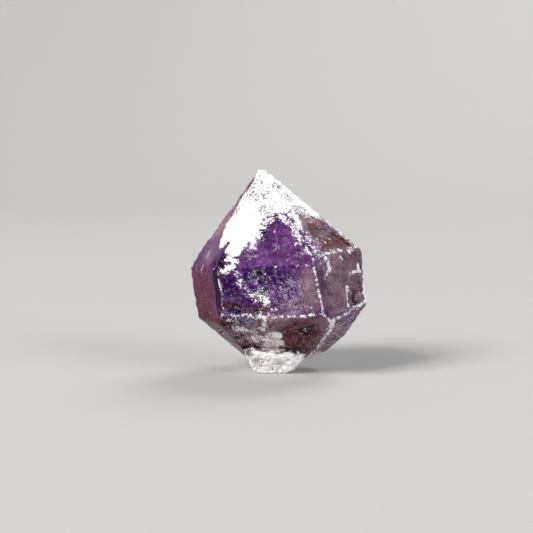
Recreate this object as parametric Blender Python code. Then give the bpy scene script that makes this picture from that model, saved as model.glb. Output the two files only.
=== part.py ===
"""Amethyst crystal: one quartz crystal with a six-sided point, a short belt and a blunter lower point,
which stands on the white root where it broke from its rock.

Metres, +Z up, the front towards -Y. The origin is on the surface that the crystal stands on, under the
middle of its outline.
"""

import math
import random

import bmesh
import bpy
from mathutils import Matrix, Vector, noise

MM = 0.001

# How the crystal stands: its heart, from which every face is measured, and its lean to the left.
HEART = Vector((-0.1, 0.07, 19.85)) * MM
LEAN = math.radians(7.8)
PLACE = Matrix.Translation(HEART) @ Matrix.Rotation(-LEAN, 4, "Y")

# Each natural face is (azimuth, rise, distance from the heart in mm). The azimuth runs from the front towards
# the right, in degrees. The rise is how far the face looks up from the belt: quartz keeps it near 0 on the
# belt and near 38.2 on its points, and this crystal strays from that by a degree or two.
BELT = {
    "belt_front": (-6.0, -2.0, 15.4),
    "belt_right": (49.0, 2.0, 18.2),
    "belt_back_right": (112.0, -3.0, 18.7),
    "belt_back": (172.0, 0.0, 15.0),
    "belt_back_left": (232.0, -1.0, 18.0),
    "belt_left": (293.5, 0.0, 18.0),
}
POINT = {
    "point_front": (-6.0, 37.2, 16.6),
    "point_right": (51.0, 39.8, 18.5),
    "point_back_right": (112.0, 38.2, 19.6),
    "point_back": (172.0, 38.2, 19.8),
    "point_back_left": (232.0, 39.2, 20.3),
    "point_left": (293.0, 39.5, 18.8),
}
BASE = {
    "base_front_left": (-23.0, -39.4, 15.1),
    "base_front_right": (-5.0, -39.0, 15.4),
    "base_right": (54.0, -38.2, 19.0),
    "base_right_low": (42.0, -56.0, 17.6),
    "base_back_right": (112.0, -38.2, 18.0),
    "base_back": (172.0, -38.2, 15.5),
    "base_back_left": (232.0, -38.2, 16.5),
    "base_left": (292.5, -39.2, 17.0),
}
FACES = {**BELT, **POINT, **BASE}
BLOCK = 80 * MM  # the side of the block that the faces are cleaved from

# The worn summit and the two breaks under the crystal are planes in the world: a point in mm and a normal.
WORN_SUMMIT = ((-4.0, 0.0, 49.35), (-0.1, -0.1, 1.0))
BREAKS = [
    ((0.0, 0.0, 2.95), (0.0, 0.0, -1.0)),
    ((5.2, 0.0, 2.15), (0.33, 0.0, -0.94)),
]
EDGE_WEAR = 0.09 * MM  # how deep each natural edge is worn down to a narrow flat

# The root: a rough stump. Its sides are planes at a distance in mm from its middle.
ROOT_MIDDLE = Vector((-0.6, 0.2, 2.95)) * MM
ROOT_SIDES = [
    ((-0.92, 0.0, -0.39), 5.9),
    ((0.67, 0.0, -0.74), 4.2),
    ((0.96, 0.0, 0.29), 6.6),
    ((0.0, -0.94, -0.34), 7.3),
    ((0.0, 0.97, -0.24), 6.9),
    ((0.0, 0.0, 1.0), 3.1),
    ((0.0, 0.0, -1.0), 4.6),
]
ROOT_KEEP_CLEAR = 9.5 * MM  # no chip is knocked out of the crystal this close to the root's middle
ROOT_CORNERS = 10  # the higher, the sharper the stump's corners
ROOT_LUMPS = [(2.6 * MM, 0.55 * MM), (1.1 * MM, 0.25 * MM)]  # width and height of its lumps

# Stepped ledges and pits: a face, an outline and a depth. Outlines are in mm, along the face and up it, from
# the face's point nearest to the heart.
LEDGES = {
    "corner_ledge": (
        "belt_right",
        [(6.2, 1.5), (5.2, -1.7), (7.9, -2.3), (9.0, -3.9), (15.0, -4.6), (15.0, 0.9)],
        0.55,
    ),
    "corner_pit": (
        "belt_right",
        [(4.5, -1.6), (3.9, -5.4), (7.3, -6.1), (8.0, -2.4)],
        1.7,
    ),
    "back_terrace": (
        "belt_back",
        [(-16.0, 2.5), (-4.0, 3.6), (1.5, 6.5), (2.5, 16.0), (-16.0, 16.0)],
        0.45,
    ),
    "back_low_terrace": (
        "belt_back_left",
        [(1.0, -1.5), (7.0, -0.6), (14.0, -2.6), (14.0, -9.0), (-2.0, -9.0)],
        0.5,
    ),
    "point_terrace": (
        "point_back",
        [(-3.0, 2.0), (4.5, 2.6), (3.0, 9.0), (0.5, 12.5), (-2.2, 8.0)],
        0.35,
    ),
    "side_terrace": (
        "point_back_left",
        [(-9.0, -5.0), (1.0, -5.0), (0.0, 0.5), (-4.5, 5.5), (-9.0, 1.0)],
        0.4,
    ),
}
LEDGE_REACH = 4 * MM  # how far a ledge's cut reaches out of its face

# Shallow scoops where flakes have sprung off: a face, the middle in mm, and the three radii in mm.
SCOOPS = {
    "front_scoop": ("belt_front", (-2.4, -2.6), (1.9, 1.0, 0.45)),
    "low_scoop": ("base_front_left", (-3.4, 1.2), (1.6, 1.1, 0.5)),
    "back_scoop": ("base_back_right", (-3.0, 1.0), (2.4, 1.6, 0.7)),
    "left_scoop": ("base_left", (-2.0, 3.0), (1.8, 1.2, 0.5)),
}

# Growth ridges run along the two faces at the lower right: the first groove and the step in mm up the face,
# and how many. Each turns a little from the last.
GROOVES = {
    "base_right": (-0.6, 0.95, 8),
    "base_right_low": (-1.6, 1.15, 7),
}
GROOVE_WIDTH = 0.5 * MM
GROOVE_DEPTH = 0.22 * MM
GROOVE_LENGTH = 30 * MM
GROOVE_FAN = math.radians(1.6)

# Small chips along the long edges.
CHIP_EVERY = 4.6 * MM
CHIP_RADIUS = (0.35 * MM, 0.8 * MM)
CHIP_SPACING = 2.6 * MM  # the least distance between two chips
CHIP_STRETCH = (1.0, 1.7)  # how many times longer along the edge than across it
CHIP_STAND_OFF = 0.62  # the ball's middle stands this share of its radius out of the edge
CHIP_SEED = 7

AMETHYST_COLOUR = (0.17, 0.07, 0.26, 1.0)


def clear_scene():
    for old in list(bpy.data.objects):
        bpy.data.objects.remove(old)


def add_object(name, mesh_builder, place=None):
    """A new object from a bmesh, linked to the scene and put in its place."""
    mesh = bpy.data.meshes.new(name)
    mesh_builder.to_mesh(mesh)
    mesh_builder.free()
    made = bpy.data.objects.new(name, mesh)
    bpy.context.scene.collection.objects.link(made)
    if place is not None:
        made.matrix_world = place
    return made


def face_normal(azimuth, rise):
    """The way a face looks, in the crystal's own frame: its long axis is Z and its front is -Y."""
    turn, lift = math.radians(azimuth), math.radians(rise)
    return Vector((math.cos(lift) * math.sin(turn), -math.cos(lift) * math.cos(turn), math.sin(lift)))


def face_frame(name):
    """A matrix whose X runs along the face, Y up it and Z out of it, with its origin nearest to the heart."""
    azimuth, rise, distance = FACES[name]
    out = face_normal(azimuth, rise)
    along = Vector((math.cos(math.radians(azimuth)), math.sin(math.radians(azimuth)), 0.0))
    up = out.cross(along)
    frame = Matrix((along, up, out)).transposed().to_4x4()
    frame.translation = out * distance * MM
    return frame


def cleave(shape, point, normal):
    """Takes off what lies beyond a plane and closes the cut."""
    everything = shape.verts[:] + shape.edges[:] + shape.faces[:]
    bmesh.ops.bisect_plane(shape, geom=everything, plane_co=point, plane_no=normal, clear_outer=True)
    rim = [edge for edge in shape.edges if edge.is_boundary]
    if rim:
        bmesh.ops.edgeloop_fill(shape, edges=rim)


def crystal_form():
    """The closed form between all the crystal's faces, its worn summit and its breaks."""
    form = bmesh.new()
    bmesh.ops.create_cube(form, size=BLOCK)
    for azimuth, rise, distance in FACES.values():
        normal = face_normal(azimuth, rise)
        cleave(form, normal * distance * MM, normal)
    into_crystal = PLACE.inverted()
    for point, normal in [WORN_SUMMIT, *BREAKS]:
        cleave(form, into_crystal @ (Vector(point) * MM), into_crystal.to_3x3() @ Vector(normal))
    bmesh.ops.recalc_face_normals(form, faces=form.faces)
    return form


def wear_edges(form):
    """Cuts a narrow flat along every edge of a closed convex form."""
    cuts = []
    for edge in form.edges:
        outward = (edge.link_faces[0].normal + edge.link_faces[1].normal).normalized()
        middle = (edge.verts[0].co + edge.verts[1].co) / 2
        cuts.append((middle - outward * EDGE_WEAR, outward))
    for point, normal in cuts:
        cleave(form, point, normal)
    bmesh.ops.recalc_face_normals(form, faces=form.faces)


def root_reach(direction):
    """How far the stump reaches from its middle in a direction: its sides, with rounded corners."""
    total = 0.0
    for normal, distance in ROOT_SIDES:
        facing = max(0.0, direction.dot(Vector(normal).normalized()))
        total += (facing / (distance * MM)) ** ROOT_CORNERS
    return total ** (-1.0 / ROOT_CORNERS)


def root_form():
    """The lumpy stump, cut flat on the surface that it stands on."""
    form = bmesh.new()
    bmesh.ops.create_icosphere(form, subdivisions=5, radius=1.0)
    for vertex in form.verts:
        direction = vertex.co.normalized()
        spot = direction * root_reach(direction)
        lumps = sum(height * noise.noise(spot / width) for width, height in ROOT_LUMPS)
        vertex.co = ROOT_MIDDLE + spot + direction * lumps
    cleave(form, Vector((0.0, 0.0, 0.0)), Vector((0.0, 0.0, -1.0)))
    return form


def prism_form(outline, low, high):
    """A closed upright prism over an outline in the XY plane."""
    form = bmesh.new()
    floor = form.faces.new([form.verts.new((x, y, low)) for x, y in outline])
    lifted = bmesh.ops.extrude_face_region(form, geom=[floor])
    top = [part for part in lifted["geom"] if isinstance(part, bmesh.types.BMVert)]
    bmesh.ops.translate(form, verts=top, vec=(0.0, 0.0, high - low))
    bmesh.ops.recalc_face_normals(form, faces=form.faces)
    return form


def groove_form(first, step, count):
    """Long three-sided bars side by side, which cut growth grooves."""
    form = bmesh.new()
    half_width, half_length = GROOVE_WIDTH / 2, GROOVE_LENGTH / 2
    section = [(-half_width, GROOVE_DEPTH), (0.0, -GROOVE_DEPTH), (half_width, GROOVE_DEPTH)]
    for index in range(count):
        turn = Matrix.Rotation(GROOVE_FAN * index, 4, "Z")
        shift = Matrix.Translation((0.0, (first + step * index) * MM, 0.0))
        near = [form.verts.new(shift @ turn @ Vector((-half_length, y, z))) for y, z in section]
        far = [form.verts.new(shift @ turn @ Vector((half_length, y, z))) for y, z in section]
        form.faces.new(near)
        form.faces.new(reversed(far))
        for corner in range(3):
            following = (corner + 1) % 3
            form.faces.new((near[corner], far[corner], far[following], near[following]))
    bmesh.ops.recalc_face_normals(form, faces=form.faces)
    return form


def chip_form(crystal):
    """Small rough balls set along the crystal's long edges, well apart, to knock chips out of them."""
    form = bmesh.new()
    pick = random.Random(CHIP_SEED)
    taken = []
    for edge in crystal.edges:
        start, end = edge.verts[0].co, edge.verts[1].co
        for _ in range(int(edge.calc_length() / CHIP_EVERY)):
            middle = start.lerp(end, pick.uniform(0.08, 0.92))
            radius = pick.uniform(*CHIP_RADIUS)
            stretch = pick.uniform(*CHIP_STRETCH)
            near_root = (PLACE @ middle - ROOT_MIDDLE).length < ROOT_KEEP_CLEAR
            if near_root or any((middle - other).length < CHIP_SPACING for other in taken):
                continue
            taken.append(middle)
            outward = (edge.link_faces[0].normal + edge.link_faces[1].normal).normalized()
            turn = (end - start).to_track_quat("X", "Z").to_matrix().to_4x4()
            size = Matrix.Diagonal((radius * stretch, radius, radius, 1.0))
            place = Matrix.Translation(middle + outward * radius * CHIP_STAND_OFF) @ turn @ size
            bmesh.ops.create_icosphere(form, subdivisions=1, radius=1.0, matrix=place)
    return form


def add_cutter(name, form, place, group):
    """A shape that only cuts or joins: drawn as wire, left out of renders and kept with its kind."""
    cutter = add_object(name, form, place)
    cutter.hide_render = True
    cutter.display_type = "WIRE"
    group.objects.link(cutter)


def add_group(name):
    group = bpy.data.collections.new(name)
    bpy.context.scene.collection.children.link(group)
    return group


def add_boolean(target, group, operation):
    """Cuts or joins everything in a group in one step."""
    step = target.modifiers.new(group.name, "BOOLEAN")
    step.operand_type = "COLLECTION"
    step.collection = group
    step.operation = operation
    step.solver = "EXACT"


def make_material():
    material = bpy.data.materials.new("amethyst")
    material.use_nodes = True
    shader = material.node_tree.nodes["Principled BSDF"]
    shader.inputs["Base Color"].default_value = AMETHYST_COLOUR
    shader.inputs["Roughness"].default_value = 0.12
    shader.inputs["Metallic"].default_value = 0.0
    shader.inputs["IOR"].default_value = 1.55
    shader.inputs["Transmission Weight"].default_value = 0.8
    return material


def make_crystal():
    form = crystal_form()
    chips = chip_form(form)
    wear_edges(form)
    crystal = add_object("amethyst_crystal", form, PLACE)
    crystal.data.materials.append(make_material())

    grown_on = add_group("grown_on")
    add_cutter("root_stump", root_form(), Matrix.Identity(4), grown_on)
    add_boolean(crystal, grown_on, "UNION")

    taken_off = add_group("taken_off")
    for name, (face, outline, depth) in LEDGES.items():
        scaled = [(x * MM, y * MM) for x, y in outline]
        ledge = prism_form(scaled, -depth * MM, LEDGE_REACH)
        add_cutter(name, ledge, PLACE @ face_frame(face), taken_off)
    for name, (face, (x, y), radii) in SCOOPS.items():
        scoop = bmesh.new()
        bmesh.ops.create_icosphere(scoop, subdivisions=3, radius=MM)
        size = Matrix.Diagonal((*radii, 1.0))
        place = PLACE @ face_frame(face) @ Matrix.Translation((x * MM, y * MM, 0.0)) @ size
        add_cutter(name, scoop, place, taken_off)
    for face, (first, step, count) in GROOVES.items():
        add_cutter(f"{face}_grooves", groove_form(first, step, count), PLACE @ face_frame(face), taken_off)
    add_cutter("edge_chips", chips, PLACE, taken_off)
    add_boolean(crystal, taken_off, "DIFFERENCE")


clear_scene()
make_crystal()
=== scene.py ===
"""Amethyst crystal on a pale studio floor: its clear violet body, its white frost and its milky root.

The crystal's places and sizes are in millimetres in the tables below, in the frame's own axes: +X to the
right, the front towards -Y, +Z up from the floor. MM turns them into metres.
"""

import math
import random

import bpy
import numpy as np
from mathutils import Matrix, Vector, kdtree, noise


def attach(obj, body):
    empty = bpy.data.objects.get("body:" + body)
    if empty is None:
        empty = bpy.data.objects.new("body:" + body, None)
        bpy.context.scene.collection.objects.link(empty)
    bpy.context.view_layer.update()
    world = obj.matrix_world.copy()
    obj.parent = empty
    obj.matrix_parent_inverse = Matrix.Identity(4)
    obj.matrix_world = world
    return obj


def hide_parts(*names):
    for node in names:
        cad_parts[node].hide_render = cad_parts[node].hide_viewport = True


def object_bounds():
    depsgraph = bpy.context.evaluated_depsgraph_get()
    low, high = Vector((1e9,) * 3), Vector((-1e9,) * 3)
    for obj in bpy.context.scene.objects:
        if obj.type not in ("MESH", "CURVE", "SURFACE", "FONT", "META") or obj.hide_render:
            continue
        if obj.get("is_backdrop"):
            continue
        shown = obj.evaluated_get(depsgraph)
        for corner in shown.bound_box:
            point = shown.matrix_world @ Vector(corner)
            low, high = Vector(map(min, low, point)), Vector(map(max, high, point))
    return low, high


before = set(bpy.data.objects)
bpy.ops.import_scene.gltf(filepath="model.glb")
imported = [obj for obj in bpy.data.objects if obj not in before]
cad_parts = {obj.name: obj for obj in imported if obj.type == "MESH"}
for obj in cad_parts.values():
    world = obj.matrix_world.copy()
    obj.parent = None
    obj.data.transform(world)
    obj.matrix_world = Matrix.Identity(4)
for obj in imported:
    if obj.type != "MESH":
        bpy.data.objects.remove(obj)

CAD_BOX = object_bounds()
MM = 0.001
NODE = "amethyst_crystal"

# How the crystal stands: its heart, and the lean of its long axis to the left.
HEART = np.array((-0.1, 0.07, 19.85))
LEAN = math.radians(7.8)

# The camera looks at a point a little left of the crystal's middle, from in front and slightly above.
LOOK_AT = Vector((-2.863, -1.93, 25.733)) * MM
CAMERA_DISTANCE = 362 * MM
CAMERA_RISE = math.radians(6)
CAMERA_LENS = 100
CAMERA_SENSOR = 36

SKIN_STEP = 0.28 * MM  # the spacing of the points on the crystal's skin

# White frost. Each line has a start, an end, a reach on both sides, how far in from its reach it thickens,
# and how closely the frost covers its middle: 1.6 and more is solid white, and less breaks up into specks.
FROST_LINES = [
    # the solid patch over the front's upper left edge, its frayed side and the flakes under it
    ((-5.6, -3.6, 41.4), (-9.0, -7.8, 35.0), 5.0, 3.2, 2.6),
    ((-11.4, -3.0, 36.2), (-12.2, -6.0, 33.0), 3.2, 1.8, 2.2),
    ((-9.8, -9.2, 32.8), (-10.8, -10.9, 30.8), 2.4, 1.6, 2.2),
    ((-3.6, -7.6, 36.8), (-6.6, -10.6, 31.8), 2.4, 2.4, 0.60),
    ((-11.6, -12.0, 28.9), (-10.5, -12.6, 28.2), 1.3, 1.3, 1.45),
    ((-12.4, -13.4, 26.5), (-10.8, -13.6, 26.9), 1.2, 1.2, 1.40),
    ((-13.3, -13.4, 25.9), (-12.2, -13.9, 25.6), 0.8, 0.8, 0.95),
    # the band down the front's right edge
    ((0.6, -7.0, 38.4), (3.2, -8.8, 36.4), 1.3, 1.2, 1.0),
    ((3.2, -5.6, 38.8), (4.8, -8.4, 36.0), 1.9, 1.6, 1.1),
    ((3.8, -9.6, 36.0), (5.2, -12.2, 33.0), 1.8, 1.8, 0.95),
    ((5.6, -11.8, 33.6), (7.0, -14.3, 30.6), 0.7, 0.8, 0.80),
    # down the right face's upper edge
    ((4.0, -1.5, 41.8), (9.4, -1.0, 38.6), 2.3, 1.6, 1.5),
    ((9.4, -1.0, 38.6), (12.4, -0.8, 36.3), 1.4, 1.2, 1.1),
    ((12.0, 0.2, 36.4), (15.8, -1.6, 33.3), 1.0, 0.8, 1.00),
    ((15.8, -1.6, 33.3), (18.9, -2.4, 30.6), 0.8, 0.7, 0.95),
    # short flecks on the right face
    ((11.0, -7.9, 32.9), (11.2, -8.3, 31.8), 0.32, 0.3, 1.0),
    ((12.1, -6.0, 32.9), (12.4, -6.1, 32.7), 0.30, 0.3, 1.0),
    ((10.6, -6.9, 33.5), (10.7, -6.8, 33.4), 0.30, 0.3, 1.0),
    ((9.0, -9.0, 33.2), (9.2, -9.2, 32.8), 0.30, 0.3, 0.9),
    ((5.8, -9.6, 35.2), (8.4, -12.6, 31.0), 2.60, 2.6, 0.42),
    # the burst in the middle of the front, and the cracks that run out of it
    ((-4.2, -15.1, 19.8), (-3.2, -15.2, 18.8), 1.7, 2.0, 1.30),
    ((-3.0, -15.2, 18.8), (-0.6, -15.2, 16.4), 1.0, 1.4, 0.80),
    ((-4.2, -15.0, 20.2), (-9.1, -14.6, 22.4), 0.8, 1.2, 0.70),
    ((-4.0, -15.0, 19.8), (-6.6, -14.9, 20.6), 1.3, 1.8, 0.80),
    ((-4.4, -15.0, 19.4), (-7.0, -14.9, 18.0), 0.7, 1.0, 0.60),
    ((-3.6, -15.1, 19.6), (0.4, -15.4, 22.5), 0.7, 1.0, 0.52),
    ((-3.8, -15.1, 20.4), (-3.4, -15.1, 24.0), 0.7, 1.0, 0.52),
    ((-3.2, -15.2, 19.0), (-3.6, -15.0, 15.6), 0.7, 1.0, 0.55),
    ((-2.6, -15.2, 18.6), (2.8, -15.5, 17.6), 0.6, 1.0, 0.50),
    ((-9.8, -14.5, 25.4), (-8.8, -14.6, 22.6), 1.0, 1.0, 0.62),
    # glassy smears, chips, the pit's rims and the ledge on the right
    ((11.4, -13.1, 29.0), (12.2, -12.4, 26.4), 1.1, 1.0, 1.12),
    ((12.2, -12.4, 26.4), (10.7, -14.2, 24.2), 0.8, 0.8, 0.90),
    ((9.2, -14.7, 29.2), (10.0, -14.5, 27.8), 0.6, 0.6, 0.60),
    ((9.8, -13.4, 29.6), (15.0, -7.2, 30.3), 0.8, 0.9, 0.66),
    ((11.6, -11.2, 30.0), (12.2, -10.5, 30.0), 0.6, 0.5, 1.10),
    ((14.8, -9.0, 28.8), (15.2, -8.5, 28.1), 0.7, 0.6, 0.80),
    ((17.2, -5.4, 30.4), (18.5, -3.8, 30.8), 1.0, 0.8, 1.10),
    ((17.0, -5.6, 30.6), (17.3, -5.4, 28.6), 0.6, 0.6, 0.90),
    ((18.0, -6.2, 24.8), (20.0, -3.9, 24.6), 0.50, 0.3, 1.5),
    ((19.3, -4.4, 26.4), (19.6, -4.2, 24.8), 0.50, 0.3, 1.7),
    ((16.4, -8.7, 21.4), (16.9, -9.1, 17.1), 0.48, 0.35, 1.9),
    ((20.7, -2.8, 21.6), (21.5, -3.7, 17.6), 0.55, 0.3, 1.6),
    ((17.1, -8.9, 16.3), (19.2, -6.4, 16.6), 0.60, 0.5, 0.95),
    ((19.2, -6.4, 16.6), (21.5, -3.8, 17.6), 0.80, 0.7, 1.15),
    ((12.7, -14.3, 14.1), (17.2, -9.0, 15.4), 0.60, 0.6, 0.85),
    # the ridge at the lower right
    ((13.0, -13.8, 13.4), (11.9, -11.4, 10.6), 1.30, 1.4, 1.00),
    ((11.9, -11.4, 10.6), (10.0, -6.0, 6.0), 1.40, 1.5, 0.85),
    ((10.0, -6.0, 6.0), (6.2, -2.8, 3.0), 1.20, 1.3, 0.75),
    # the lower faces: flecks on the left, the orange spot's rim, and the white spot over the pale cloud
    ((-12.9, -13.2, 15.4), (-9.0, -13.9, 14.9), 1.10, 1.2, 0.60),
    ((-12.6, -12.2, 14.0), (-9.6, -12.6, 13.8), 1.00, 1.0, 0.55),
    ((-8.6, -14.2, 15.4), (-3.0, -14.8, 14.6), 0.90, 0.9, 0.62),
    ((-9.6, -10.4, 12.2), (-6.2, -10.8, 10.6), 1.90, 1.7, 0.68),
    ((-7.2, -9.2, 8.8), (-5.4, -10.2, 9.4), 1.20, 1.2, 0.55),
    ((-3.0, -14.8, 14.6), (-4.2, -12.2, 11.8), 1.10, 1.0, 0.66),
    ((-0.5, -12.1, 10.6), (0.2, -11.9, 10.2), 1.10, 0.7, 1.9),
    ((-1.4, -15.1, 15.0), (8.4, -16.0, 15.6), 0.70, 0.7, 0.62),
    ((7.4, -16.0, 15.7), (7.9, -16.0, 15.7), 0.50, 0.5, 1.00),
    ((6.3, -13.3, 12.1), (6.3, -12.8, 11.5), 0.30, 0.2, 1.00),
    # smudges on the left
    ((-18.8, -3.6, 25.9), (-18.3, -4.2, 25.0), 0.80, 1.0, 0.50),
    ((-16.2, -0.6, 31.2), (-17.8, -1.8, 28.0), 0.50, 0.8, 0.42),
    # the back
    ((-0.6, 8.4, 39.0), (4.5, 12.5, 31.5), 3.4, 1.8, 1.7),
    ((5.0, 13.0, 30.0), (5.6, 15.0, 26.4), 1.2, 0.8, 1.2),
    ((12.5, 8.5, 31.0), (16.0, 6.5, 27.0), 2.0, 1.6, 0.9),
    ((-14.0, 9.5, 29.5), (-11.0, 12.5, 22.5), 2.4, 1.6, 1.0),
    ((-4.0, 15.0, 17.0), (3.5, 14.5, 13.5), 2.4, 2.0, 0.7),
    ((8.0, 13.0, 20.0), (14.0, 9.0, 17.0), 1.6, 1.6, 0.6),
]
SUMMIT_FROST = (37.0, 40.2)  # heights between which the frost closes over the summit
SUMMIT_COVER = 1.15
# Where the frost is rubbed off again, along the left side of the summit and in the pit: start, end, reach.
BARE_LINES = [
    ((-7.8, 3.8, 45.6), (-10.6, 4.4, 42.1), 5.2),
    ((-10.6, 4.4, 42.1), (-16.1, 1.9, 32.5), 5.4),
    ((18.7, -6.2, 20.4), (18.9, -5.9, 17.8), 1.2),
]
# Edges with a wear of their own: start, end, reach, wear.
WORN_LINES = [
    ((7.0, -14.5, 30.5), (7.9, -16.0, 28.4), 2.0, 1.05),
    ((7.9, -16.0, 28.4), (8.6, -16.5, 25.4), 2.0, 0.98),
    ((8.6, -16.5, 25.4), (10.9, -15.8, 15.2), 2.0, 0.92),
    ((10.9, -15.8, 15.2), (12.7, -14.1, 13.5), 2.0, 1.10),
    ((-1.6, -15.2, 14.7), (10.6, -15.9, 15.5), 1.8, 1.15),
    ((-14.2, -13.9, 25.4), (-13.1, -14.0, 16.4), 1.8, 0.42),
    ((-5.0, -14.7, 26.9), (6.6, -16.3, 27.6), 1.4, 1.08),
    ((9.3, -14.2, 29.5), (17.2, -4.4, 30.6), 2.2, 1.25),
    ((12.9, -14.0, 13.6), (10.0, -6.0, 6.0), 1.5, 1.0),
]
QUIET_EDGES = 0.30  # how much the other edges are worn at most

# Colour zones, as spots with a middle, three radii and a strength.
DEEP_ZONES = [  # deep violet
    ((-11.6, -14.4, 22.6), (3.8, 3.0, 4.4), 1.2),
    ((-3.0, -15.4, 24.6), (9.0, 3.0, 3.2), 1.5),
    ((-6.6, -14.8, 20.4), (5.0, 3.0, 3.6), 1.3),
    ((3.0, -15.6, 22.4), (4.0, 3.0, 4.2), 0.7),
    ((-9.8, -14.4, 16.2), (3.6, 2.0, 0.9), 1.6),
    ((-13.2, -11.2, 28.4), (1.8, 3.0, 3.6), 1.5),
    ((-15.2, -9.6, 26.6), (3.2, 5.0, 4.0), 0.6),
    ((10.7, -14.9, 22.7), (1.8, 2.2, 2.6), 0.6),
    ((10.0, -13.8, 28.4), (2.6, 3.0, 3.0), 0.4),
    ((-3.6, -8.8, 34.4), (2.6, 3.0, 4.0), 1.3),
    ((0.0, -8.6, 37.2), (3.2, 3.0, 2.6), 0.6),
    ((-8.6, -14.3, 26.3), (2.8, 2.0, 0.7), 1.2),
    ((-3.4, -15.0, 26.7), (3.6, 2.0, 0.6), 1.4),
    ((2.4, -15.7, 27.0), (3.6, 2.0, 0.55), 1.3),
    ((4.0, 13.0, 24.0), (10.0, 7.0, 7.0), 0.9),
    ((-12.0, 9.0, 20.0), (6.0, 7.0, 6.0), 0.7),
]
MAUVE_ZONES = [  # the red-violet left side
    ((-14.0, -6.0, 9.0), (6.0, 8.0, 6.0), 1.3),
    ((-18.3, -3.6, 19.0), (7.0, 13.0, 11.0), 1.4),
    ((-17.0, -4.0, 12.0), (8.0, 11.0, 7.0), 1.7),
    ((-12.0, 6.0, 10.0), (8.0, 8.0, 8.0), 0.8),
]
SMOKE_AND_PAINTED_SHADE_ZONES = [  # smoky brown, strongest over the root; the spot in the pit on the right is painted shade
    ((-1.0, -10.0, 4.0), (24.0, 14.0, 11.5), 1.15),
    ((5.0, -12.6, 11.0), (7.5, 5.0, 4.6), 1.4),
    ((4.6, -8.6, 6.2), (5.0, 4.0, 2.4), 1.5),
    ((-12.6, -11.0, 12.8), (4.5, 4.0, 2.6), 1.2),
    ((-7.8, -6.0, 6.0), (3.4, 3.0, 2.0), 1.5),
    ((-11.4, -14.3, 18.0), (3.8, 2.0, 2.2), 0.80),
    ((-7.4, -14.8, 17.4), (3.8, 2.0, 1.8), 0.60),
    ((-3.8, -15.0, 17.0), (2.6, 2.0, 1.1), 1.2),
    ((-17.9, -3.2, 15.2), (5.0, 10.0, 2.8), 0.55),
    ((14.6, -4.6, 32.4), (5.6, 6.0, 3.8), 0.85),
    ((-7.6, 3.0, 44.4), (6.0, 8.0, 8.0), 0.45),
    ((9.0, -5.4, 35.4), (5.0, 6.0, 4.6), 0.82),
    ((11.5, -8.0, 32.0), (6.0, 7.0, 3.4), 0.82),
    ((-16.8, -5.0, 12.6), (5.0, 6.0, 4.0), 0.90),
    # painted shade darkening the pit
    ((18.2, -6.4, 18.8), (1.8, 2.8, 2.8), 0.5),
    ((8.0, 11.0, 9.5), (8.0, 6.0, 5.0), 1.0),
]
DARK_AND_PAINTED_SHADE_ZONES = [  # near-black: painted shade along the front's left edge and at the foot of the pit, and near-black spots low in the smoky part
    # the first three paint the shadow in the strip along the front's left edge
    ((-13.8, -12.3, 27.8), (1.5, 2.4, 3.0), 1.2),
    ((-14.8, -12.3, 23.6), (1.7, 2.7, 4.6), 1.4),
    ((-14.3, -12.2, 18.2), (1.7, 2.7, 5.0), 1.5),
    ((-15.2, -9.8, 26.8), (2.8, 4.4, 3.6), 0.4),
    ((-10.2, -14.4, 17.4), (5.6, 2.4, 2.2), 0.5),
    ((6.4, -13.0, 11.6), (2.6, 2.6, 2.2), 0.9),
    ((4.4, -8.4, 5.8), (4.2, 3.0, 1.6), 0.9),
    ((-7.8, -5.8, 5.9), (2.4, 2.0, 1.2), 0.8),
    ((-12.3, -11.2, 13.2), (1.6, 2.0, 1.4), 0.8),
    ((-9.2, -12.4, 13.2), (2.6, 2.0, 0.9), 0.7),
    ((-9.6, -9.2, 9.4), (2.0, 2.4, 1.0), 0.6),
    # painted shade at the foot of the pit
    ((19.6, -5.6, 16.9), (1.2, 1.2, 1.0), 0.5),
    ((18.2, -4.8, 29.6), (1.0, 1.4, 0.8), 1.0),
    ((-4.4, -15.2, 26.2), (3.4, 2.0, 1.1), 0.8),
]
HAZE_ZONES = [  # rosy grey and hazy
    ((14.0, -11.5, 22.0), (9.5, 9.0, 11.5), 1.2),
    ((12.5, -6.5, 32.4), (8.0, 8.0, 6.5), 1.1),
    ((20.0, -4.0, 21.0), (5.5, 8.0, 11.0), 1.4),
    ((-16.5, -3.0, 29.5), (5.0, 8.0, 5.0), 0.6),
    ((-7.6, 3.0, 44.4), (7.0, 8.0, 9.0), 2.4),
    ((-14.0, 2.0, 36.0), (5.5, 7.0, 7.0), 1.3),
    ((16.0, -6.0, 25.0), (15.0, 16.0, 15.0), 1.5),
    ((3.4, -10.0, 4.0), (22.0, 16.0, 15.0), 2.8),
    ((8.5, -4.5, 37.0), (5.0, 6.0, 5.0), 1.3),
    ((7.4, -16.0, 21.4), (4.2, 3.0, 8.0), 1.15),
    ((3.6, -15.8, 17.6), (5.0, 3.0, 2.6), 0.8),
    ((15.5, -7.0, 11.0), (6.0, 9.0, 6.0), 0.7),
    ((7.1, -3.6, 3.6), (4.5, 5.0, 1.6), 1.2),
    ((16.0, 8.0, 18.0), (6.0, 7.0, 8.0), 0.8),
    ((-3.0, 14.0, 30.0), (7.0, 6.0, 6.0), 0.7),
]
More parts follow.
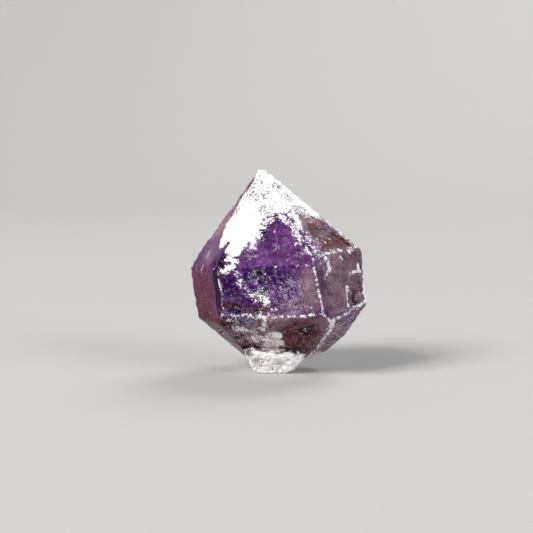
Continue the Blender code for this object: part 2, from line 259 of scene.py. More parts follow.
MILK_AND_PAINTED_LIGHT_ZONES = [  # milky, as in the pale cloud over the root, and a painted lightening inside the shaded pit
    ((-17.2, -2.4, 28.0), (1.4, 2.6, 4.4), 0.45),
    ((-1.2, -10.8, 9.4), (3.4, 4.0, 4.0), 1.00),
    ((-2.4, -9.6, 7.4), (4.6, 5.0, 3.6), 0.80),
    ((-5.4, -10.0, 8.6), (5.4, 5.0, 4.4), 0.60),
    ((-1.0, -10.2, 8.0), (4.4, 4.4, 3.6), 0.95),
    ((-1.0, -8.2, 6.2), (4.6, 3.0, 1.6), 0.9),
    ((-8.0, -10.6, 11.4), (3.4, 3.0, 2.4), 0.55),
    ((13.4, -11.4, 26.6), (2.6, 3.0, 3.0), 0.45),
    # painted light: lightens the inside of the pit, which lies in shade
    ((18.4, -6.2, 19.2), (2.0, 2.8, 3.4), 0.40),
    ((8.6, -2.4, 3.8), (5.0, 5.0, 2.0), 1.1),
    ((-3.4, -13.4, 13.0), (1.8, 2.0, 2.4), 0.6),
    ((2.0, 9.0, 8.0), (6.0, 5.0, 3.0), 0.9),
]
WEB_ZONES = [  # where fine pale threads lie close together in the crystal
    ((-4.5, -15.0, 22.6), (8.0, 4.0, 6.0), 1.15),
    ((2.6, -15.6, 21.0), (6.0, 3.0, 7.0), 1.0),
    ((3.8, -15.8, 17.4), (5.4, 3.0, 2.8), 1.1),
    ((9.4, -10.6, 31.8), (3.2, 5.0, 4.2), 1.0),
    ((10.2, -13.6, 28.4), (2.8, 3.4, 3.0), 1.3),
    ((-6.6, -11.6, 30.4), (4.5, 4.0, 4.0), 0.8),
    ((-0.6, -12.2, 31.5), (2.0, 2.0, 2.0), 1.0),
    ((5.0, -13.6, 31.0), (3.0, 3.0, 3.4), 0.9),
    ((-7.0, -11.0, 10.8), (9.0, 7.0, 6.4), 1.7),
    ((8.8, -10.6, 8.4), (3.4, 4.0, 3.6), 0.6),
    ((0.0, 13.0, 20.0), (12.0, 6.0, 10.0), 0.7),
]
LEAST_WEB = 0.30  # the least of them on all but the smooth left side
PAINTED_FROST_SHADE_ZONES = [  # where grey-brown specks of painted shade lie in the frost's hollows
    ((-6.2, -1.4, 43.6), (3.0, 4.0, 5.0), 1.2),
    ((-4.0, -2.4, 43.4), (3.4, 4.0, 4.4), 1.1),
    ((-4.4, 0.0, 46.8), (2.6, 2.6, 2.2), 0.9),
    ((-3.0, -5.4, 40.4), (4.6, 3.4, 2.8), 0.9),
    ((2.0, 10.0, 36.0), (5.0, 5.0, 4.0), 0.8),
]
PAINTED_FROST_SHADE_RIGHT_ZONES = [  # and the same where the faces run down to the right
    ((-0.4, -0.6, 45.8), (2.2, 2.4, 2.8), 1.2),
    ((2.4, -2.0, 42.6), (2.6, 2.6, 3.0), 1.1),
    ((5.2, -3.4, 39.8), (4.0, 3.4, 3.0), 1.0),
    ((4.6, -10.8, 34.8), (2.6, 3.6, 4.4), 1.1),
    ((10.6, -1.2, 37.2), (2.4, 2.0, 2.4), 1.2),
    ((15.0, -1.8, 33.6), (3.4, 2.0, 3.4), 1.0),
]
# Iron stains and the small orange spot: start, end, reach, strength.
STAIN_LINES = [
    ((10.4, -2.6, 37.0), (14.5, -3.2, 33.4), 1.5, 0.75),
    ((13.2, -3.0, 34.4), (17.4, -3.6, 31.2), 1.8, 1.00),
    ((-9.8, -2.6, 39.6), (-7.8, -2.4, 42.0), 1.8, 0.40),
    ((-8.9, -5.3, 38.7), (-8.9, -5.3, 38.4), 0.35, 0.9),
    ((-10.6, -6.3, 36.2), (-10.6, -6.4, 35.9), 0.35, 1.0),
    ((0.3, -3.4, 42.6), (0.3, -3.5, 42.4), 0.32, 0.8),
    ((-15.5, 8.0, 12.5), (-9.0, 12.0, 12.0), 0.6, 1.0),
]
RUST_LINES = [
    ((-2.7, -14.9, 14.6), (-2.3, -15.0, 14.5), 0.5, 1.1),
    ((14.6, -2.2, 33.8), (15.6, -2.4, 33.0), 0.35, 0.5),
]
# The growth lines on the lower right run level along the crystal's right side.
STRIPE_ZONE = [((15.6, -5.5, 11.0), (8.0, 12.0, 8.0), 2.0)]
STRIPE_TURN = (0.0, math.radians(-14), math.radians(50.6))
# Fine curved ripples run round the burst.
RIPPLE_MIDDLE = Vector((-3.6, -15.1, 19.6))
RIPPLE_ZONE = [((3.4, -15.8, 21.6), (4.2, 3.0, 5.0), 1.1)]
RIPPLE_STEP = 0.85
PIT_ZONES = [  # where the root is full of small grey pits
    ((-3.0, -9.0, 2.8), (6.0, 6.0, 2.4), 1.3),
    ((3.0, 8.0, 3.0), (7.0, 6.0, 2.6), 1.1),
]

ZONES = {
    "deep": DEEP_ZONES,
    "mauve": MAUVE_ZONES,
    "smoke_and_painted_shade": SMOKE_AND_PAINTED_SHADE_ZONES,
    "dark": DARK_AND_PAINTED_SHADE_ZONES,
    "haze": HAZE_ZONES,
    "milk_and_painted_light": MILK_AND_PAINTED_LIGHT_ZONES,
    "web": WEB_ZONES,
    "painted_frost_shade": PAINTED_FROST_SHADE_ZONES,
    "painted_frost_shade_right": PAINTED_FROST_SHADE_RIGHT_ZONES,
    "pits": PIT_ZONES,
    "stripes": STRIPE_ZONE,
    "ripples": RIPPLE_ZONE,
}

ROOT_TOP = 5.4  # the root's milky white reaches up to about here
ROOT_RISE = -0.06  # and a little less high towards its right
ROOT_REACH = 10.6  # and no further than this from the upright line through its middle
ROOT_SIDES = (-8.6, 6.8)  # nor further to the left and right than this
ROOT_MIDDLE = np.array((-0.6, 0.2))

# The skin's relief.
EDGE_BEND = (0.004, 0.03)  # how much the skin turns at a point, from the flat of a face to a sharp edge
EDGE_WEAR = 0.10
GROWTH_STEP = 1.15  # from one growth line on the belt to the next
GROWTH_RISE = 0.028
FACE_WAVES = 0.020
FACE_LUMPS = 0.012
FROST_THICK, FROST_GRAINS, FROST_LUMPS = 0.035, 0.075, 0.05
ROOT_THICK, ROOT_LUMPS, ROOT_GRAINS = 0.10, 0.28, 0.16
FLAT_BELOW = 0.35  # the skin stays flat below this height, because the crystal stands on it
SMOOTH_BELOW = math.radians(24)  # edges that turn less than this are shaded smooth

# Small marks on the skin: how many, their least and greatest reach, and how deep or high for their reach.
MARKS_SEED = 11
CHIPS = (420, (0.35, 0.95), 0.26)  # along the edges
HOLES = (220, (0.28, 0.5), 0.30)  # in the frost
FLECKS = (60, (0.20, 0.34), 0.14)  # of white, on the clear faces

COVER_SCALE = 2.0  # a mask holds no more than 1, so the frost's cover is kept as its share of this
PAINTED_FROST_SHADE_LEANS = {"painted_frost_shade": 40, "painted_frost_shade_right": -45}  # in degrees, on either side of the summit

# The relief's noise adds up octaves: the width of the lumps is divided by the step from one to the next, and
# the fade says how fast they weaken.
OCTAVE_STEP = 2.0
OCTAVE_FADE = 0.9


def smooth(values, low, high):
    """0 below low, 1 above high, and an even ramp between them."""
    share = np.clip((values - low) / (high - low), 0.0, 1.0)
    return share * share * (3.0 - 2.0 * share)


def near_line(points, start, end, reach):
    """1 on the line from start to end, 0 at its reach, and below 0 further out."""
    start = np.array(start)
    along = np.array(end) - start
    share = np.clip((points - start) @ along / (along @ along), 0.0, 1.0)
    distance = np.linalg.norm(points - start - share[:, None] * along, axis=1)
    return 1.0 - distance / reach


def near_spot(points, middle, radii):
    """1 at a spot's middle, 0 on its rim, and below 0 further out."""
    return 1.0 - np.linalg.norm((points - np.array(middle)) / np.array(radii), axis=1)


def clouds(points, width, octaves, pattern):
    """Even noise from about -1 to 1 in lumps of a width. Each pattern's number gives other lumps."""
    shift = Vector((pattern * 7.3, pattern * 3.1, pattern * 5.7))
    places = (Vector(point) / width + shift for point in points)
    return np.array([noise.fractal(place, OCTAVE_FADE, OCTAVE_STEP, octaves) for place in places])


def zone(points, spots, ragged):
    """How strongly a colour zone shows at each point, with a ragged rim."""
    strength = np.zeros(len(points))
    for middle, radii, weight in spots:
        strength = np.maximum(strength, weight * near_spot(points, middle, radii))
    return smooth(strength + ragged, 0.0, 0.75)


def choose(obj):
    """Makes an object the only one selected, and the active one."""
    bpy.ops.object.select_all(action="DESELECT")
    obj.select_set(True)
    bpy.context.view_layer.objects.active = obj


def read_points(mesh):
    values = np.empty(len(mesh.vertices) * 3)
    mesh.vertices.foreach_get("co", values)
    return values.reshape(-1, 3)


def read_normals(mesh):
    values = np.empty(len(mesh.vertices) * 3)
    mesh.vertex_normals.foreach_get("vector", values)
    return values.reshape(-1, 3)


def write_points(mesh, points):
    mesh.vertices.foreach_set("co", points.ravel())
    mesh.update()


def keep_mask(mesh, name, values):
    """Keeps a value from 0 to 1 on each point, for the material to read by its name."""
    mask = mesh.attributes.new(name, "FLOAT", "POINT")
    mask.data.foreach_set("value", np.clip(values, 0.0, 1.0).astype(np.float32))


def neighbours(mesh):
    """The two points of each edge of a mesh."""
    pairs = np.empty(len(mesh.edges) * 2, dtype=np.int64)
    mesh.edges.foreach_get("vertices", pairs)
    return pairs.reshape(-1, 2)


def spread(values, pairs, rounds):
    """Evens values out over the skin, each round by one step between neighbouring points."""
    count = np.zeros(len(values))
    np.add.at(count, pairs[:, 0], 1.0)
    np.add.at(count, pairs[:, 1], 1.0)
    for _ in range(rounds):
        total = np.zeros(len(values))
        np.add.at(total, pairs[:, 0], values[pairs[:, 1]])
        np.add.at(total, pairs[:, 1], values[pairs[:, 0]])
        values = 0.5 * values + 0.5 * total / count
    return values


def edge_mask(normals, pairs):
    """1 along the crystal's edges and steps, where the skin turns sharply, and 0 on its flat faces."""
    bend = 1.0 - np.sum(normals[pairs[:, 0]] * normals[pairs[:, 1]], axis=1)
    sharpest = np.zeros(len(normals))
    np.maximum.at(sharpest, pairs[:, 0], bend)
    np.maximum.at(sharpest, pairs[:, 1], bend)
    return np.clip(1.25 * spread(smooth(sharpest, *EDGE_BEND), pairs, 2), 0.0, 1.0)


def root_mask(points, lumps):
    """1 on the milky root and 0 above its uneven rim."""
    from_middle = np.linalg.norm(points[:, :2] - ROOT_MIDDLE, axis=1)
    top = ROOT_TOP + ROOT_RISE * points[:, 0] + 0.7 * lumps
    root = smooth(top - points[:, 2], -0.4, 0.4) * smooth(ROOT_REACH - from_middle, 0.0, 0.8)
    across = np.abs(points[:, 0] - np.mean(ROOT_SIDES))
    return root * smooth(0.5 * np.ptp(ROOT_SIDES) + 0.8 * lumps - across, 0.0, 1.0)


def lines_mask(points, lines):
    """The strength of the nearest of some lines at each point."""
    strength = np.zeros(len(points))
    for start, end, reach, weight in lines:
        strength = np.maximum(strength, weight * near_line(points, start, end, reach))
    return strength


def frost_cover(points):
    """How closely the frost covers each point, and how far it is rubbed off there."""
    heights = points[:, 2] + 1.5 * clouds(points, 2.6, 4, 1)
    cover = smooth(heights, *SUMMIT_FROST) * SUMMIT_COVER
    frayed = 0.35 * clouds(points, 1.1, 3, 2)
    for start, end, reach, soft, weight in FROST_LINES:
        inside = near_line(points, start, end, reach) * reach / soft
        cover = np.maximum(cover, weight * np.clip(inside + frayed * (inside > -0.3), 0.0, 1.0))
    bare = np.zeros(len(points))
    for start, end, reach in BARE_LINES:
        bare = np.maximum(bare, smooth(near_line(points, start, end, reach) + 0.3 * frayed, 0.0, 0.45))
    return cover * (1.0 - bare), bare


def skin_of(node, name):
    """A copy of a CAD node's mesh with evenly spaced points, for fine relief."""
    skin = node.copy()
    skin.data = node.data.copy()
    skin.name = name
    skin.parent = None
    for key in list(skin.keys()):
        del skin[key]
    bpy.context.scene.collection.objects.link(skin)
    choose(skin)
    bpy.ops.object.mode_set(mode="EDIT")
    bpy.ops.mesh.select_all(action="SELECT")
    bpy.ops.mesh.remove_doubles(threshold=1e-6)
    bpy.ops.object.mode_set(mode="OBJECT")
    grid = skin.modifiers.new("even_points", "REMESH")
    grid.mode = "VOXEL"
    grid.voxel_size = SKIN_STEP
    bpy.ops.object.modifier_apply(modifier=grid.name)
    return skin


def tree_of(points):
    """The points in a tree, which finds those near a place quickly."""
    tree = kdtree.KDTree(len(points))
    for index, point in enumerate(points):
        tree.insert(Vector(point), index)
    tree.balance()
    return tree


def stamp(points, tree, picks, count, radii, pick):
    """Where small marks lie: for each one, the points in its reach and how near each is to its middle."""
    for _ in range(count):
        middle = points[picks[pick.randrange(len(picks))]]
        reach = pick.uniform(*radii)
        found = tree.find_range(Vector(middle), reach)
        index = np.array([item[1] for item in found])
        share = 1.0 - np.array([item[2] for item in found]) / reach
        yield index, share, reach


def stamp_marks(points, edges, root, rise, cover, worn):
    """Chips the edges, pits the frost and puts white flecks on the clear faces."""
    tree = tree_of(points)
    pick = random.Random(MARKS_SEED)
    above_root = root < 0.1

    count, radii, depth = CHIPS
    edge_spots = np.flatnonzero((edges > 0.6) & above_root)
    for index, share, reach in stamp(points, tree, edge_spots, count, radii, pick):
        rise[index] -= depth * reach * smooth(share, 0.0, 0.7)
        worn[index] = np.maximum(worn[index], pick.uniform(0.1, 1.0) * smooth(share, 0.0, 0.3))

    count, radii, depth = HOLES
    frosted = np.flatnonzero((cover > 0.7) & (cover < 1.5) & above_root)
    for index, share, reach in stamp(points, tree, frosted, count, radii, pick):
        rise[index] -= depth * reach * smooth(share, 0.1, 0.8)

    count, radii, height = FLECKS
    clear = np.flatnonzero((cover < 0.3) & (edges < 0.2) & above_root)
    for index, share, reach in stamp(points, tree, clear, count, radii, pick):
        rise[index] += height * reach * smooth(share, 0.1, 0.8)
        cover[index] = np.maximum(cover[index], smooth(share, 0.2, 0.7))


def shape_crystal():
    """The crystal's skin: its natural faces with growth relief, frost, chips and pits."""
    crystal = skin_of(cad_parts[NODE], "crystal")
    mesh = crystal.data
    pairs = neighbours(mesh)
    points = read_points(mesh) / MM
    normals = read_normals(mesh)

    edges = edge_mask(normals, pairs)
    lumps = clouds(points, 1.6, 3, 3)
    root = root_mask(points, lumps)
    cover, bare = frost_cover(points)
    quiet = QUIET_EDGES * smooth(clouds(points, 3.2, 3, 4), -0.2, 0.6)
    worn = np.maximum(quiet, lines_mask(points, WORN_LINES))
    grain = clouds(points, 0.75, 3, 5)
    frost = smooth(0.5 + 0.62 * grain + np.maximum(cover, 0.5 * edges * worn) - 1.0, -0.12, 0.16)

    # Each point's height along the long axis gives the growth lines of the belt.
    axis = np.array((-math.sin(LEAN), 0.0, math.cos(LEAN)))
    height = (points - HEART) @ axis
    on_belt = smooth(0.35 - np.abs(normals @ axis), 0.0, 0.25) * (1.0 - root)
    wander = clouds(points, 9.0, 2, 6)
    lines = np.sin(2.0 * math.pi * (height + 0.5 * wander) / GROWTH_STEP)
    lines *= smooth(clouds(points, 6.0, 2, 7), -0.3, 0.5)

    rise = FACE_WAVES * clouds(points, 5.0, 2, 8) + FACE_LUMPS * lumps + GROWTH_RISE * lines * on_belt
    rise += frost * (FROST_THICK + FROST_GRAINS * grain + FROST_LUMPS * lumps)
    root_lumps = ROOT_LUMPS * clouds(points, 1.1, 3, 9)
    rise += root * (ROOT_THICK + root_lumps + ROOT_GRAINS * clouds(points, 0.5, 2, 10))
    rise -= edges * EDGE_WEAR * smooth(clouds(points, 1.3, 2, 11), 0.0, 0.6) * (1.0 - root)
    stamp_marks(points, edges, root, rise, cover, worn)
    rise[points[:, 2] < FLAT_BELOW] = 0.0

    ragged = 0.22 * clouds(points, 2.2, 4, 12)
    masks = {name: zone(points, spots, ragged) for name, spots in ZONES.items()}
    masks["web"] = np.maximum(masks["web"], LEAST_WEB * smooth(normals[:, 0], -0.75, -0.45))
    masks["cover"] = cover / COVER_SCALE
    masks["root"] = root
    masks["edge"] = edges * (1.0 - bare)
    masks["worn"] = worn
    masks["stain"] = lines_mask(points, STAIN_LINES) + ragged
    masks["rust"] = smooth(lines_mask(points, RUST_LINES) + 0.4 * ragged + 0.2 * grain, 0.2, 0.8)
    for name, mask in masks.items():
        keep_mask(mesh, name, mask)

    write_points(mesh, (points + normals * rise[:, None]) * MM)
    choose(crystal)
    bpy.ops.object.shade_smooth_by_angle(angle=SMOOTH_BELOW)
    return crystal


class Recipe:
    """Adds and joins a material's nodes. A value is a number or another node's socket."""

    # A colour mix has its two colours and its result in these sockets.
    FIRST, SECOND, RESULT = 6, 7, 2

    def __init__(self, name):
        self.material = bpy.data.materials.new(name)
        self.material.use_nodes = True
        self.tree = self.material.node_tree
        self.tree.nodes.clear()
        self.place = self.add("ShaderNodeTexCoord").outputs["Object"]

    def add(self, kind, inputs=(), **settings):
        node = self.tree.nodes.new(kind)
        for key, value in settings.items():
            setattr(node, key, value)
        for key, value in dict(inputs).items():
            if isinstance(value, bpy.types.NodeSocket):
                self.tree.links.new(value, node.inputs[key])
            else:
                node.inputs[key].default_value = value
        return node

    def mask(self, name):
        """A value that shape_crystal kept on the skin's points."""
        return self.add("ShaderNodeAttribute", attribute_name=name).outputs["Fac"]

    def noise(self, width_mm, detail=3.0, rough=0.55, place=None):
        """Noise from 0 to 1 in lumps of about a width."""
        inputs = {
            "Vector": place or self.place,
            "Scale": 1.0 / (width_mm * MM),
            "Detail": detail,
            "Roughness": rough,
        }
        return self.add("ShaderNodeTexNoise", inputs).outputs["Fac"]

    def ramp(self, value, low, high, start=0.0, end=1.0):
        """Goes smoothly from start to end while a value goes from low to high."""
        inputs = {"Value": value, "From Min": low, "From Max": high, "To Min": start, "To Max": end}
        return self.add("ShaderNodeMapRange", inputs, interpolation_type="SMOOTHSTEP").outputs["Result"]

    def math(self, operation, first, second=0.0, third=0.0):
        node = self.add("ShaderNodeMath", {0: first, 1: second, 2: third}, operation=operation)
        return node.outputs["Value"]

    def times(self, first, second):
        return self.math("MULTIPLY", first, second)

    def plus(self, first, second):
        return self.math("ADD", first, second)

    def minus(self, first, second):
        return self.math("SUBTRACT", first, second)

    def times_plus(self, first, second, third):
        """The first value times the second, plus the third."""
        return self.math("MULTIPLY_ADD", first, second, third)

    def most(self, greatest, *others):
        """The greatest of some values."""
        for value in others:
            greatest = self.math("MAXIMUM", greatest, value)
        return greatest

    def mix(self, share, first, second):
        """The first colour, with a share of the second laid over it."""
        inputs = {"Factor": share, self.FIRST: first, self.SECOND: second}
        return self.add("ShaderNodeMix", inputs, data_type="RGBA").outputs[self.RESULT]

    def shade(self, colour, amount):
        """A colour made lighter or darker by a value around 1."""
        grey = self.add("ShaderNodeCombineXYZ", {0: amount, 1: amount, 2: amount}).outputs[0]
        inputs = {"Factor": 1.0, self.FIRST: colour, self.SECOND: grey}
        node = self.add("ShaderNodeMix", inputs, data_type="RGBA", blend_type="MULTIPLY")
        return node.outputs[self.RESULT]

    def warped(self, width_mm, amount_mm):
        """The place on the crystal, pushed about by a noise, for lines that wander."""
        inputs = {"Vector": self.place, "Scale": 1.0 / (width_mm * MM), "Detail": 3.0}
        push = self.add("ShaderNodeTexNoise", inputs).outputs["Color"]
        inputs = {0: push, "Scale": amount_mm * MM}
        scaled = self.add("ShaderNodeVectorMath", inputs, operation="SCALE").outputs[0]
        return self.add("ShaderNodeVectorMath", {0: self.place, 1: scaled}, operation="ADD").outputs[0]

    def turned(self, turn, longer):
        """The place on the crystal in turned axes, for marks that are longer along some of them."""
        inputs = {"Vector": self.place, "Rotation": turn, "Scale": longer}
        return self.add("ShaderNodeMapping", inputs, vector_type="TEXTURE").outputs[0]


BODY_VIOLET = (0.165, 0.045, 0.225, 1.0)
DEEP_VIOLET = (0.032, 0.001, 0.080, 1.0)
MAUVE = (0.112, 0.017, 0.050, 1.0)
SMOKE_BROWN_AND_PAINTED_SHADE = (0.078, 0.010, 0.009, 1.0)
# also used for painted shade along the front's left edge and in the pit
NEAR_BLACK = (0.005, 0.000, 0.004, 1.0)
ROSE_GREY = (0.325, 0.190, 0.225, 1.0)
MILKY_AND_PAINTED_LIGHT = (0.800, 0.730, 0.765, 1.0)
THREAD_PALE = (0.720, 0.640, 0.800, 1.0)
IRON_BROWN = (0.045, 0.012, 0.005, 1.0)
RUST_ORANGE = (0.560, 0.290, 0.120, 1.0)
FROST_WHITE = (0.950, 0.945, 0.950, 1.0)
# the grey-brown of the painted shade in the frost's hollows
PAINTED_FROST_SHADE_BROWN = (0.150, 0.095, 0.110, 1.0)
ROOT_GREY = (0.600, 0.535, 0.505, 1.0)
INSIDE_VIOLET = (0.42, 0.10, 0.60, 1.0)
INSIDE_DENSITY = 170.0
QUARTZ_IOR = 1.55
PAPER_GREY = (0.460, 0.456, 0.450, 1.0)


def threads(r, width_mm, line, place):
    """Thin lines that wander between lumps of a noise."""
    offset = r.minus(r.noise(width_mm, 2.0, 0.6, place), 0.5)
    return r.ramp(r.math("ABSOLUTE", offset), line, line * 0.15)


def dots(r, apart_mm, width_mm):
    """Small dots, at random, in about half of the cells of a size."""
    cells = r.add("ShaderNodeTexVoronoi", {"Vector": r.place, "Scale": 1.0 / (apart_mm * MM)})
    there = r.ramp(cells.outputs["Color"], 0.55, 0.60)
    near = r.ramp(cells.outputs["Distance"], 0.5 * width_mm / apart_mm, 0.3 * width_mm / apart_mm)
    return r.times(there, near)


def ripples(r):
    """Fine rings round the burst on the front."""
    inputs = {0: r.warped(2.2, 0.7), 1: RIPPLE_MIDDLE * MM}
    away = r.add("ShaderNodeVectorMath", inputs, operation="SUBTRACT").outputs[0]
    distance = r.add("ShaderNodeVectorMath", {0: away}, operation="LENGTH").outputs["Value"]
    wave = r.math("SINE", r.times(distance, 2.0 * math.pi / (RIPPLE_STEP * MM)))
    return r.times(r.ramp(wave, 0.55, 0.95), r.mask("ripples"))


def painted_frost_shade(r, name, lean):
    """Grey-brown specks of painted shade in the frost's hollows, drawn out down the faces at a lean in
    degrees.
    """
    streaky = r.turned((0.0, math.radians(lean), 0.0), (1.0, 1.0, 2.0))
    short = r.ramp(r.mask(name), 0.0, 1.0, 0.72, 0.52)
    return r.ramp(r.minus(r.noise(0.42, 3.0, 0.72, streaky), short), -0.02, 0.03)


def body_colour(r, web, dark, milk_and_painted_light):
    """The clear crystal's mottled colour: violet with rosy, deep violet, smoky, dark and milky zones, some
    of them painted shade along the front's left edge and in the pit, and one painted light in the pit.
    """
    layers = [
        (r.mask("mauve"), 1.0, MAUVE),
        (r.mask("haze"), 0.9, ROSE_GREY),
        (r.mask("deep"), 1.0, DEEP_VIOLET),
        (r.mask("smoke_and_painted_shade"), 0.95, SMOKE_BROWN_AND_PAINTED_SHADE),
        (dark, 0.92, NEAR_BLACK),
        (milk_and_painted_light, 0.9, MILKY_AND_PAINTED_LIGHT),
    ]
    colour = BODY_VIOLET
    for zone_mask, share, zone_colour in layers:
        colour = r.mix(r.times(zone_mask, share), colour, zone_colour)
    broad = r.ramp(r.noise(3.0, 5.0, 0.62), 0.28, 0.72, 0.60, 1.50)
    fine = r.minus(r.noise(0.50, 3.0, 0.68), 0.5)
    fine = r.times(fine, r.ramp(web, 0.0, 1.0, 1.2, 7.0))
    return r.shade(colour, r.most(r.plus(broad, fine), 0.15))


def pale_marks(r, web, stripes):
    """Fine pale threads, specks, dots, streaks up the right side, growth lines and ripples."""
    bent = r.warped(1.6, 1.0)
    net = r.most(threads(r, 0.90, 0.041, bent), threads(r, 0.55, 0.043, r.place))
    net = r.times(r.times(net, web), r.ramp(r.noise(1.1, 3.0), 0.46, 0.62))
    few = r.times(threads(r, 2.6, 0.016, bent), r.ramp(r.noise(2.6, 3.0), 0.50, 0.62, 0.0, 0.5))
    few = r.times(few, r.ramp(web, 0.1, 0.3))
    patchy = r.ramp(r.plus(web, r.noise(2.2, 3.0)), 0.5, 1.5, 0.72, 0.63)
    specks = r.ramp(r.minus(r.noise(0.44, 2.0, 0.6), patchy), 0.0, 0.03)
    dust = r.times(dots(r, 0.95, 0.26), r.ramp(r.plus(web, r.noise(3.0)), 0.45, 1.1))
    upright = r.turned((0.0, LEAN, 0.0), (1.0, 1.0, 8.0))
    streaks = r.times(r.ramp(r.noise(0.32, 3.0, 0.6, upright), 0.58, 0.70), r.mask("haze"))
    return r.most(
        r.times(net, 0.75),
        few,
        r.times(specks, 0.9),
        r.times(dust, 0.85),
        dots(r, 2.4, 0.44),
        r.times(streaks, 0.28),
        r.times(stripes, 0.62),
        r.times(ripples(r), 0.30),
    )


def white_cover(r):
    """Where the crystal is white: on worn edges, and under frost, which is specks where it is thin."""
    cover = r.times(r.mask("cover"), COVER_SCALE)
    coarse = r.times(r.noise(1.3, 3.0), 0.35)
    grain = r.plus(r.times(r.noise(0.46, 3.0, 0.72), 0.65), coarse)
    short = r.plus(r.ramp(cover, 0.0, 0.12, 0.09, 0.0), r.times_plus(cover, -0.15, 0.585))
    specks = r.ramp(r.minus(grain, short), -0.005, 0.020)
    closed = r.ramp(cover, 1.25, 1.60)
    edge = r.plus(r.times(r.mask("edge"), 0.55), r.times(r.mask("worn"), 0.40))
    edge = r.plus(edge, r.times_plus(r.noise(0.36, 3.0, 0.65), 1.8, -0.90))
    edge = r.plus(edge, r.times_plus(r.noise(1.5, 2.0), 1.0, -0.50))
    return r.most(specks, closed, r.ramp(edge, 0.80, 0.90))


def frost_colour(r):
    """White with grey-brown specks of painted shade on the summit."""
    specks = r.most(*[painted_frost_shade(r, name, lean) for name, lean in PAINTED_FROST_SHADE_LEANS.items()])
    return r.mix(r.times(specks, 0.95), FROST_WHITE, PAINTED_FROST_SHADE_BROWN)


def root_colour(r):
    """White with small grey pits."""
    pits = r.times_plus(r.mask("pits"), 0.22, r.noise(0.8, 3.0, 0.75))
    return r.mix(r.ramp(pits, 0.67, 0.73), FROST_WHITE, ROOT_GREY)


def stained(r, colour):
    """A colour with the brown iron stains, their rusty rims and the orange spot laid over it."""
    stain = r.times_plus(r.mask("stain"), 0.40, r.noise(0.85, 3.0, 0.80))
    colour = r.mix(r.ramp(stain, 0.64, 0.70, 0.0, 0.35), colour, RUST_ORANGE)
    colour = r.mix(r.ramp(stain, 0.69, 0.73), colour, IRON_BROWN)
    return r.mix(r.mask("rust"), colour, RUST_ORANGE)


def clearness(r, solid, dark, pale, milk_and_painted_light):
    """How much light the crystal lets through: less where it is hazy or dark, none where it is white."""
    cloudy = r.most(r.times(r.mask("haze"), 0.4), r.most(pale, milk_and_painted_light))
    clear = r.times(r.minus(1.0, solid), r.ramp(cloudy, 0.0, 1.0, 0.50, 0.15))
    depth = r.most(
        r.times(r.mask("smoke_and_painted_shade"), 0.5),
        dark,
        r.times(r.mask("mauve"), 0.6),
        r.times(r.mask("deep"), 0.5),
    )
    return r.times(clear, r.minus(1.0, depth))


def quartz_finish():
    """Clear violet quartz that is smoky, rosy or deep violet in zones, and white where frosted or worn."""
    r = Recipe("amethyst_quartz")
    web = r.mask("web")
    root = r.mask("root")
    dark = r.ramp(r.mask("dark"), 0.0, 0.7)
    veil = r.times(r.noise(1.2, 4.0, 0.7), 1.6)
    milk_and_painted_light = r.ramp(r.times_plus(r.mask("milk_and_painted_light"), 0.9, veil), 1.08, 1.75)

    # The growth lines at the lower right are pale, with furrows of deep violet between them.
    rows = r.noise(0.42, 4.0, 0.7, r.turned(STRIPE_TURN, (12.0, 1.0, 1.0)))
    stripes = r.times(r.ramp(rows, 0.50, 0.58), r.mask("stripes"))
    furrows = r.times(r.ramp(rows, 0.50, 0.42), r.mask("stripes"))

    pale = pale_marks(r, web, stripes)
    white = white_cover(r)
    colour = body_colour(r, web, dark, milk_and_painted_light)
    colour = r.mix(r.times(furrows, 0.6), colour, DEEP_VIOLET)
    colour = r.mix(pale, colour, THREAD_PALE)
    colour = r.mix(white, colour, frost_colour(r))
    colour = r.mix(root, colour, root_colour(r))
    colour = stained(r, colour)

    solid = r.most(white, root)
    glossy = r.ramp(r.noise(1.8, 4.0), 0.4, 0.7, 0.08, 0.28)
    small = r.times(r.noise(0.22, 3.0, 0.6), r.ramp(solid, 0.0, 1.0, 0.10, 1.0))
    small = r.plus(small, r.times(stripes, 0.5))
    bump = r.add("ShaderNodeBump", {"Height": small, "Strength": 0.5, "Distance": 0.12 * MM})

    shader = r.add("ShaderNodeBsdfPrincipled", {
        "Base Color": colour,
        "Roughness": r.most(r.ramp(solid, 0.0, 1.0, 0.05, 0.75), glossy),
        "Transmission Weight": clearness(r, solid, dark, pale, milk_and_painted_light),
        "Normal": bump.outputs["Normal"],
        "IOR": QUARTZ_IOR,
        "Specular IOR Level": 0.01,
        "Specular Tint": (0.4, 0.4, 0.4, 1.0),
    })
    inside = r.add("ShaderNodeVolumeAbsorption", {"Color": INSIDE_VIOLET, "Density": INSIDE_DENSITY})
    r.add("ShaderNodeOutputMaterial", {
        "Surface": shader.outputs["BSDF"],
        "Volume": inside.outputs["Volume"],
    })
    return r.material


def floor_finish():
    """Pale matt paper with a faint grain."""
    r = Recipe("studio_paper")
    tone = r.ramp(r.noise(0.8, 3.0), 0.3, 0.7, 0.985, 1.015)
    colour = r.shade(PAPER_GREY, tone)
    shader = r.add("ShaderNodeBsdfPrincipled", {"Base Color": colour, "Roughness": 0.85})
    r.add("ShaderNodeOutputMaterial", {"Surface": shader.outputs["BSDF"]})
    return r.material


FLOOR_SIZE = 3.0
BACK_HEIGHT = 2.0  # how high the sheet goes up behind the crystal
BACK_CURVE = 0.9
# Soft square lights that face the crystal: place, size, power, colour.
LIGHTS = {
    "key_light": ((-1.25, -0.95, 1.35), 0.8, 50.0, (1.0, 0.985, 0.96)),
    "fill_light": ((1.4, -1.0, 0.7), 0.9, 14.0, (0.97, 0.98, 1.0)),
    "rim_light": ((0.6, 1.0, 1.2), 0.7, 12.0, (1.0, 1.0, 1.0)),
}
AIR_COLOUR = (0.92, 0.93, 0.95, 1.0)
AIR_GLOW = 0.20


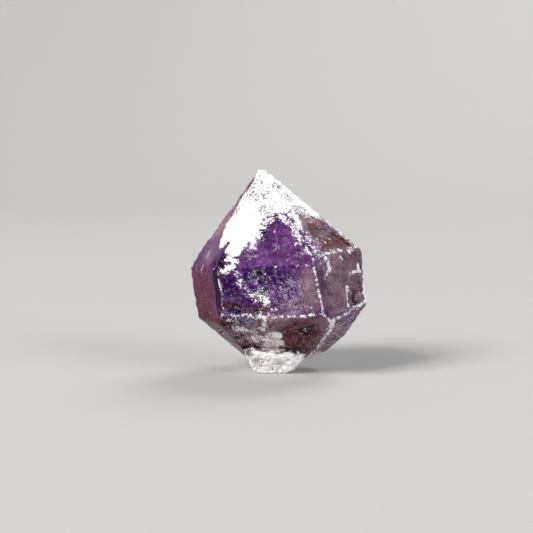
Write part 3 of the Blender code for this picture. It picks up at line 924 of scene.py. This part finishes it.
def edit_edges(obj, wanted):
    """Goes into edit mode with only those edges selected whose two ends are both wanted."""
    for edge in obj.data.edges:
        edge.select = all(wanted(obj.data.vertices[corner].co) for corner in edge.vertices)
    bpy.ops.object.mode_set(mode="EDIT")


def make_floor():
    """A pale sheet on the table that curves up behind the crystal."""
    bpy.ops.object.select_all(action="DESELECT")
    bpy.ops.mesh.primitive_plane_add(size=FLOOR_SIZE, location=(0.0, 0.0, 0.0))
    floor = bpy.context.active_object
    floor.name = "studio_floor"
    bpy.ops.object.mode_set(mode="EDIT")
    bpy.ops.mesh.select_mode(type="EDGE")
    bpy.ops.mesh.select_all(action="DESELECT")
    bpy.ops.object.mode_set(mode="OBJECT")
    edit_edges(floor, lambda corner: corner.y > 0.0)
    bpy.ops.mesh.extrude_region_move(TRANSFORM_OT_translate={"value": (0.0, 0.0, BACK_HEIGHT)})
    bpy.ops.object.mode_set(mode="OBJECT")
    edit_edges(floor, lambda corner: corner.y > 0.0 and corner.z < 0.5 * BACK_HEIGHT)
    bpy.ops.mesh.bevel(offset=BACK_CURVE, segments=16, affect="EDGES")
    bpy.ops.object.mode_set(mode="OBJECT")
    bpy.ops.object.shade_smooth()
    floor.data.materials.append(floor_finish())
    floor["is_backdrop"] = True


def add_light(name, place, size, power, colour):
    lamp = bpy.data.lights.new(name, "AREA")
    lamp.size = size
    lamp.energy = power
    lamp.color = colour
    light = bpy.data.objects.new(name, lamp)
    light.location = place
    light.rotation_euler = (LOOK_AT - Vector(place)).to_track_quat("-Z", "Y").to_euler()
    bpy.context.scene.collection.objects.link(light)


def make_studio():
    make_floor()
    for name, (place, size, power, colour) in LIGHTS.items():
        add_light(name, place, size, power, colour)
    world = bpy.data.worlds.new("studio_air")
    world.use_nodes = True
    air = world.node_tree.nodes["Background"]
    air.inputs["Color"].default_value = AIR_COLOUR
    air.inputs["Strength"].default_value = AIR_GLOW
    bpy.context.scene.world = world
    bpy.context.scene.view_settings.view_transform = "Standard"
    bpy.context.scene.view_settings.look = "None"


def make_camera():
    data = bpy.data.cameras.new("camera")
    data.lens = CAMERA_LENS
    data.sensor_width = CAMERA_SENSOR
    data.clip_start = 0.01
    camera = bpy.data.objects.new("camera", data)
    away = Vector((0.0, -math.cos(CAMERA_RISE), math.sin(CAMERA_RISE)))
    camera.location = LOOK_AT + away * CAMERA_DISTANCE
    camera.rotation_euler = (-away).to_track_quat("-Z", "Y").to_euler()
    bpy.context.scene.collection.objects.link(camera)
    bpy.context.scene.camera = camera


make_camera()
make_studio()
crystal = shape_crystal()
crystal.data.materials.clear()
crystal.data.materials.append(quartz_finish())
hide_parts(NODE)
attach(crystal, "root")

boxes = {"cad": CAD_BOX, "visual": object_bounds()}
{name: [list(corner) for corner in box] for name, box in boxes.items()}
